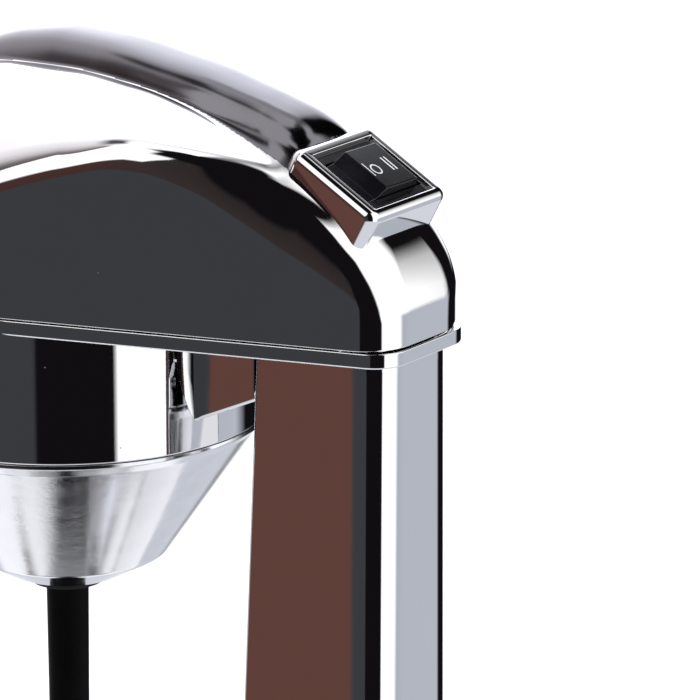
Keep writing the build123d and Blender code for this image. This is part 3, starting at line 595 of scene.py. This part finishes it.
# --------------------------------------------------------------------------
# Cone nose, seal, spindle
# --------------------------------------------------------------------------
cp = round_path([(52.0, -40.9), (57.0, -40.9), (57.25, -42.0), (54.6, -44.6), (28.5, -82.6), (16.2, -89.3), (11.7, -90.0), (11.7, -87.8),
                 (15.0, -87.0), (27.0, -80.6), (51.8, -44.3), (52.0, -40.9)],
                [0, 0.25, 0.6, 3.0, 4.0, 1.4, 0.3, 0.3, 3, 4, 2, 0], 10)
v, f = lathe(cp, 384)
cone = make("nose_cone_skin", v, f, M["cone"])
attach(cone, "head"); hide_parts("nose_cone")
sp = round_path([(6.65, -87.0), (11.45, -87.0), (11.45, -90.3), (10.7, -90.9), (10.7, -92.3), (6.65, -92.3), (6.65, -87.0)],
                [0, 0.3, 0.3, 0.3, 0.5, 0.3, 0], 5)
v, f = lathe(sp, 128)
seal = make("shaft_seal_ring", v, f, M["rubber"])
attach(seal, "head"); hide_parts("shaft_seal")
low = 62.0 - SZ
pp = round_path([(0.0, -90.3), (6.15, -90.3), (6.15, -92.8), (5.95, -94.6), (5.70, -124), (5.2, low + 14), (5.2, low + 4), (4.4, low), (1.9, low),
                 (1.9, low - 8.8), (0.0, low - 9.0)], [0, 0.2, 0.5, 1, 30, 10, 2, 0.6, 0.1, 0.4, 0], 6, edge=6.0)
v, f = lathe(pp, 96)
spin = make("spindle_rod", v, f, M["spindle"])
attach(spin, "rotor"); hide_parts("spindle")

# --------------------------------------------------------------------------
# Column
# --------------------------------------------------------------------------
HY, HZ = 99.1, -8.0


def column_loop(z, grow=0.0):
    t = (HZ - z) / (HZ - (19.25 - SZ))
    t = max(0.0, t)
    half_w = 18.0 + (19.9 - 18.0) * t
    y0 = 80.6 + (68.8 - 80.6) * t
    y1 = 122.4
    if z > HZ:
        r = math.sqrt(max(21.35 ** 2 - (z - HZ) ** 2, 0.04)) / 21.35
        y0, y1 = 101.0 - 20.4 * r, 101.0 + 21.4 * r
    half_w, y0, y1 = half_w + grow, y0 - grow, y1 + grow
    lim = (y1 - y0) * 0.45
    rr, rf = min(11.0 + grow, lim), min(1.6 + grow, lim)
    p = round_path([(half_w, y0), (half_w, y1), (-half_w, y1), (-half_w, y0)], [rf, rr, rr, rf], 14, closed=True)
    return np.concatenate([p, np.full((len(p), 1), z)], 1)


zs = list(np.linspace(21.0 - SZ, HZ, 60)) + [HZ + 21.3 * math.sin(a) for a in np.linspace(0.05, math.pi / 2 * 0.985, 26)]
v, f = loft([column_loop(z) for z in zs])
col = make("column_skin", v, f, M["chrome"])
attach(col, "stand"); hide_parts("column_shell")

# --------------------------------------------------------------------------
# Base
# --------------------------------------------------------------------------
def base_outline():
    r, yr, cr = 84.0, 126.0, 34.0
    a0 = math.radians(12)
    pr = [(0, yr), (58, yr), (r * math.cos(a0), r * math.sin(a0))]
    p = round_path(pr, [0, cr, 0], 26, edge=2.5)
    arc = [(r * math.cos(a), r * math.sin(a)) for a in np.linspace(a0, -math.pi / 2, 74)][1:]
    return full_loop(np.vstack([p, np.array(arc)]))


bo = base_outline()
bn = np.roll(bo, -1, 0) - np.roll(bo, 1, 0)
bn = np.stack([-bn[:, 1], bn[:, 0]], 1); bn /= np.linalg.norm(bn, axis=1)[:, None]
if bn[0] @ np.array([0, 1.0]) < 0:
    bn = -bn
bl = []
prof = round_path([(-2.4, 6.1), (-0.05, 6.1), (-0.05, 27.0), (-12.0, 27.0)], [0, 0.6, 9.0, 0], 14)
for o, z in prof:
    bl.append(np.concatenate([bo + bn * o, np.full((len(bo), 1), z - SZ)], 1))
inner = bl[-1][:, :2]
th = np.arctan2(inner[:, 1], inner[:, 0])
for t in np.linspace(0.12, 1, 9):
    ring = np.stack([np.cos(th), np.sin(th)], 1) * 47.2
    bl.append(np.concatenate([inner * (1 - t) + ring * t, np.full((len(bo), 1), 27.0 - SZ)], 1))
for r_, z_ in ((46.8, 26.98), (46.45, 26.85), (46.2, 26.6), (46.15, 26.0), (46.15, 24.3), (45.6, 24.05), (40, 24.0), (20, 24.0), (1, 24.0)):
    bl.append(np.concatenate([np.stack([np.cos(th), np.sin(th)], 1) * r_, np.full((len(bo), 1), z_ - SZ)], 1))
v, f = loft(bl, False, True)
base = make("base_skin", v, f, M["chrome"])
# flared foot of the column, part of the base casting
fl = []
for a in np.linspace(0, 1, 22):
    d = 8.6 * (1 - math.sin(a * math.pi / 2))
    h = 8.6 * (1 - math.cos(a * math.pi / 2))
    lp = column_loop(27 + h - SZ, max(0.25, d + 0.25))
    lp[:, 1] = np.minimum(lp[:, 1], 123.4)
    lp[:, 2] = 26.95 + h - SZ
    fl.append(lp)
fl.append(column_loop(35.6 - SZ, 0.02))
for l in fl[-1:]:
    l[:, 2] = 35.6 - SZ
v, f = loft(fl, True, True)
flare = make("base_flare", v, f, M["chrome"])
for o in (base, flare):
    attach(o, "stand"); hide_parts("base_shell")

# --------------------------------------------------------------------------
# Switch
# --------------------------------------------------------------------------
SL = math.radians(28.4)
SO = np.array([0, 106.5, 42.9])
SX, SYD, SN = np.array([1.0, 0, 0]), np.array([0, math.cos(SL), -math.sin(SL)]), np.array([0, math.sin(SL), math.cos(SL)])


def on_slope(p):
    p = np.asarray(p, float).reshape(-1, 3)
    return SO + p[:, :1] * SX + p[:, 1:2] * SYD + p[:, 2:] * SN


def rrect(w, l, r, cy=0.0, seg=10):
    return round_path([(w / 2, cy - l / 2), (w / 2, cy + l / 2), (-w / 2, cy + l / 2), (-w / 2, cy - l / 2)], [r] * 4, seg, closed=True)


fr = []
W0, L0 = 34.0, 31.2
fr.append((W0, L0, 3.2, -0.7, -18.0))
fr.append((W0, L0, 3.2, -0.7, -9.0))
fr.append((W0, L0, 3.2, -0.7, -2.0))
for a in np.linspace(0, 90, 12):
    k = 2.6 * (1 - math.cos(math.radians(a)))
    fr.append((W0 - 2 * k, L0 - 2 * k, max(3.2 - k, 0.7), -0.7, 0.8 - 2.6 + 2.6 * math.sin(math.radians(a))))
wi, li = 26.2, 23.6
for a in np.linspace(0, 90, 5):
    k = 0.4 * math.sin(math.radians(a))
    fr.append((wi + 0.8 - 2 * k, li + 0.8 - 2 * k, 0.75 - k * 0.5, 0.0, 0.8 - 0.4 * (1 - math.cos(math.radians(a)))))
fr.append((wi, li, 0.5, 0.0, -3.0)); fr.append((wi, li, 0.5, 0.0, -12.0))
loops = []
for w, l, r, cyy, h in fr:
    q = rrect(w, l, r, cyy)
    loops.append(on_slope(np.concatenate([q, np.full((len(q), 1), h)], 1)))
v, f = loft(loops, False, False)
sf = make("switch_frame_skin", v, f, M["chrome_small"])
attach(sf, "head"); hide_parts("switch_frame")

# rocker with softened edges
rp = round_path([(-11.6, -2.4), (-11.6, -1.0), (-10.4, -0.6), (-9.6, 2.2), (4.4, 2.6), (7.9, -0.4), (11.6, -1.0), (11.6, -2.4)],
                [0, 0.3, 0.3, 0.7, 0.6, 0.8, 0.5, 0], 6)
loops = []
for b_, ins in ((-8.1, 0.5), (-7.95, 0.18), (-7.6, 0.0), (7.6, 0.0), (7.95, 0.18), (8.1, 0.5)):
    q = rp.copy()
    q[:, 1] = np.where(q[:, 1] > -1.5, q[:, 1] - ins, q[:, 1])
    loops.append(on_slope(np.stack([q[:, 0], np.full(len(q), b_), q[:, 1]], 1)))
v, f = loft(loops)
rock = make("rocker_button", v, f, M["rocker"])
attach(rock, "rocker"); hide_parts("switch_rocker")

# marks I, O and II, printed a few hundredths proud of the rocker's top
def top_h(a):
    return float(np.interp(a, [-9.6, 4.4], [2.2, 2.6]))


def bar_mark(name, a, b0, b1, w):
    q = rrect(w, b1 - b0, w * 0.2, (b0 + b1) / 2, 4)
    q[:, 0] += a
    lo_ = np.array([[p[0], p[1], top_h(p[0]) - 0.05] for p in q]); hi_ = lo_.copy(); hi_[:, 2] += 0.10
    v, f = loft([on_slope(lo_), on_slope(hi_)])
    o = make(name, v, f, M["mark"])
    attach(o, "rocker")
    return o


bar_mark("mark_one", 3.6, -2.4, 3.0, 0.34)
bar_mark("mark_two_a", -4.9, -2.4, 3.0, 0.5)
bar_mark("mark_two_b", -6.3, -2.4, 3.0, 0.5)
ring_o, ring_i = [], []
n = 48
outer = np.array([[0.9 + 1.7 * math.cos(t), 0.9 + 2.0 * math.sin(t), 2.45] for t in np.linspace(0, 2 * math.pi, n, endpoint=False)])
inn = np.array([[0.9 + 1.25 * math.cos(t), 0.9 + 1.55 * math.sin(t), 2.45] for t in np.linspace(0, 2 * math.pi, n, endpoint=False)])
up = np.array([0, 0, 0.10])
v, f = loft([on_slope(outer), on_slope(outer + up), on_slope(inn + up), on_slope(inn), on_slope(outer)], False, False)
mo = make("mark_zero", v, f, M["mark"])
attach(mo, "rocker")

# --------------------------------------------------------------------------
# Studio
# --------------------------------------------------------------------------
def floor_mat():
    m, nt, b = new_mat("floor_pale")
    vec = coords(nt)
    nt.links.new(ramp(nt, noise(nt, vec, 1.5, 2.0), [(0.3, (0.86, 0.86, 0.865)), (0.7, (0.88, 0.88, 0.885))]), b.inputs["Base Color"])
    b.inputs["Roughness"].default_value = 0.7
    b.inputs["Specular IOR Level"].default_value = 0.1
    return m


def disc(name, r0, r1, z, mat, n=96):
    th = np.linspace(0, 2 * np.pi, n, endpoint=False)
    a = np.stack([r0 * np.cos(th), r0 * np.sin(th), np.full(n, z)], 1)
    b = np.stack([r1 * np.cos(th), r1 * np.sin(th), np.full(n, z)], 1)
    if r0 == 0:
        v = np.vstack([b, [[0, 0, z]]]); f = [(i, (i + 1) % n, n) for i in range(n)]
    else:
        v = np.vstack([a, b]); f = [(i, n + i, n + (i + 1) % n, (i + 1) % n) for i in range(n)]
    o = make(name, v, f, mat, raw=True, weld=False)
    return o


fm = floor_mat()
near = disc("floor_near", 0, 0.18, 0.0, fm)
far = disc("floor_far", 0.18, 30.0, 0.0, fm)
far.visible_glossy = False

w = bpy.data.worlds.new("studio")
bpy.context.scene.world = w
w.use_nodes = True
nt = w.node_tree
bg = nt.nodes["Background"]
tc = nt.nodes.new("ShaderNodeTexCoord")
sep = nt.nodes.new("ShaderNodeSeparateXYZ")
nt.links.new(tc.outputs["Generated"], sep.inputs[0])


def math_node(op, a, b=None):
    m = nt.nodes.new("ShaderNodeMath"); m.operation = op
    for i, v_ in enumerate((a, b)):
        if v_ is None:
            continue
        if isinstance(v_, (int, float)):
            m.inputs[i].default_value = v_
        else:
            nt.links.new(v_, m.inputs[i])
    return m.outputs[0]


az = math_node("ARCTAN2", sep.outputs[1], sep.outputs[0])
az = math_node("MULTIPLY", az, 180 / math.pi)                       # -180..180 from +X towards +Y
az01 = math_node("DIVIDE", math_node("ADD", az, 180.0), 360.0)
el = math_node("MULTIPLY", math_node("ARCSINE", sep.outputs[2]), 180 / math.pi)


def az_ramp(stops):
    return ramp(nt, az01, [((a + 180) / 360, c) for a, c in stops])


WH = (1.25, 1.25, 1.26)
GREY, BROWN, BROWN2, BLACK = (0.046, 0.047, 0.053), (0.125, 0.056, 0.045), (0.066, 0.030, 0.027), (0.006, 0.005, 0.006)
COOL = (0.44, 0.46, 0.53)
low_ring = az_ramp([(-180, BLACK), (-158, BLACK), (-150, (0.9, 0.9, 0.95)), (-120, (0.9, 0.9, 0.95)), (-75, (0.35, 0.34, 0.36)), (-60, BROWN), (-24, BROWN), (-14, (0.055, 0.052, 0.056)),
                    (-6, GREY), (22, GREY), (24, BLACK), (66.5, BLACK), (69, WH), (108, WH), (118, (0.46, 0.49, 0.56)), (150, (0.50, 0.53, 0.60)), (160, BLACK), (180, BLACK)])
mid_ring = az_ramp([(-180, BLACK), (-174, BLACK), (-165, (1.6, 1.62, 1.7)), (-150, (2.35, 2.4, 2.6)), (-142, (2.1, 2.13, 2.3)), (-130, (1.65, 1.65, 1.75)), (-104, (1.15, 1.13, 1.18)), (-88, (1.0, 0.98, 1.02)), (-66, (0.85, 0.82, 0.85)), (-52, (0.60, 0.57, 0.59)), (-42, (0.22, 0.20, 0.20)), (-32, BROWN2), (-8, BROWN2), (2, (0.040, 0.031, 0.030)), (20, (0.028, 0.022, 0.023)), (25, BLACK),
                    (66, BLACK), (70, WH), (140, WH), (154, BLACK), (180, BLACK)])
high = az_ramp([(-180, (0.3, 0.3, 0.31)), (-165, (0.8, 0.8, 0.82)), (-120, (1.1, 1.1, 1.14)), (-104, (0.8, 0.78, 0.82)), (-86, (0.10, 0.09, 0.10)), (-60, (0.10, 0.09, 0.10)), (-44, WH), (-8, WH), (0, BLACK), (106, BLACK), (120, WH), (160, WH), (180, (0.3, 0.3, 0.31))])
k1 = ramp(nt, math_node("DIVIDE", math_node("ADD", el, 90.0), 180.0), [(0.0, 0.0), ((90 - 8) / 180, 0.0), ((90 - 4) / 180, 1.0), (1.0, 1.0)])
k2 = ramp(nt, math_node("DIVIDE", math_node("ADD", el, 90.0), 180.0), [(0.0, 0.0), ((90 + 57) / 180, 0.0), ((90 + 63) / 180, 1.0), (1.0, 1.0)])
edge = ramp(nt, az01, [(a_ / 360 + 0.5, c_) for a_, c_ in ((-180, 1.0), (-52, 1.0), (-40, 0.62), (-28, 0.10), (-14, 0.17), (0, 0.32), (12, 0.58), (22, 1.0), (180, 1.0))])
over = math_node("DIVIDE", math_node("SUBTRACT", math_node("DIVIDE", el, 90.0), edge), 0.05)
over = ramp(nt, over, [(0.0, 0.0), (1.0, 1.0)])
k0 = ramp(nt, math_node("DIVIDE", math_node("ADD", el, 90.0), 180.0), [(0.0, 1.0), ((90 - 33) / 180, 1.0), ((90 - 27) / 180, 0.0), (1.0, 0.0)])
low_ring = mix(nt, k0, low_ring, (0.70, 0.72, 0.78))
c1 = mix(nt, k1, low_ring, mix(nt, over, mid_ring, WH))
k3 = ramp(nt, math_node("DIVIDE", math_node("ADD", el, 90.0), 180.0), [(0.0, 0.0), ((90 + 70) / 180, 0.0), ((90 + 75) / 180, 1.0), (1.0, 1.0)])
zenith = az_ramp([(-180, (0.3, 0.3, 0.31)), (-165, WH), (-40, WH), (-12, BLACK), (150, BLACK), (180, (0.3, 0.3, 0.31))])
c2 = mix(nt, k3, mix(nt, k2, c1, high), zenith)
nt.links.new(c2, bg.inputs["Color"])
bg.inputs["Strength"].default_value = 1.0

sun = bpy.data.lights.new("softbox", "SUN")
sun.energy = 2.2
sun.angle = math.radians(35)
so = bpy.data.objects.new("softbox", sun)
bpy.context.scene.collection.objects.link(so)
so.rotation_euler = (math.radians(18), math.radians(12), 0)
so.visible_glossy = False

cam = bpy.data.cameras.new("camera")
cam.sensor_width = 36.0
cam.lens = 5973.5 * 36 / 700
cam.clip_end = 200
co = bpy.data.objects.new("camera", cam)
bpy.context.scene.collection.objects.link(co)
right, up_, back = Vector((-0.59482, 0.80386, 0)), Vector((-0.23301, -0.17242, 0.95707)), Vector((0.76935, 0.56929, 0.28986))
mw = Matrix.Identity(4)
for i in range(3):
    mw[i][0], mw[i][1], mw[i][2] = right[i], up_[i], back[i]
mw[0][3], mw[1][3], mw[2][3] = 1.234785, 1.012857 + SY / 1000, 0.457886 + SZ / 1000
co.matrix_world = mw
bpy.context.scene.camera = co
bpy.context.scene.view_settings.view_transform = "Standard"
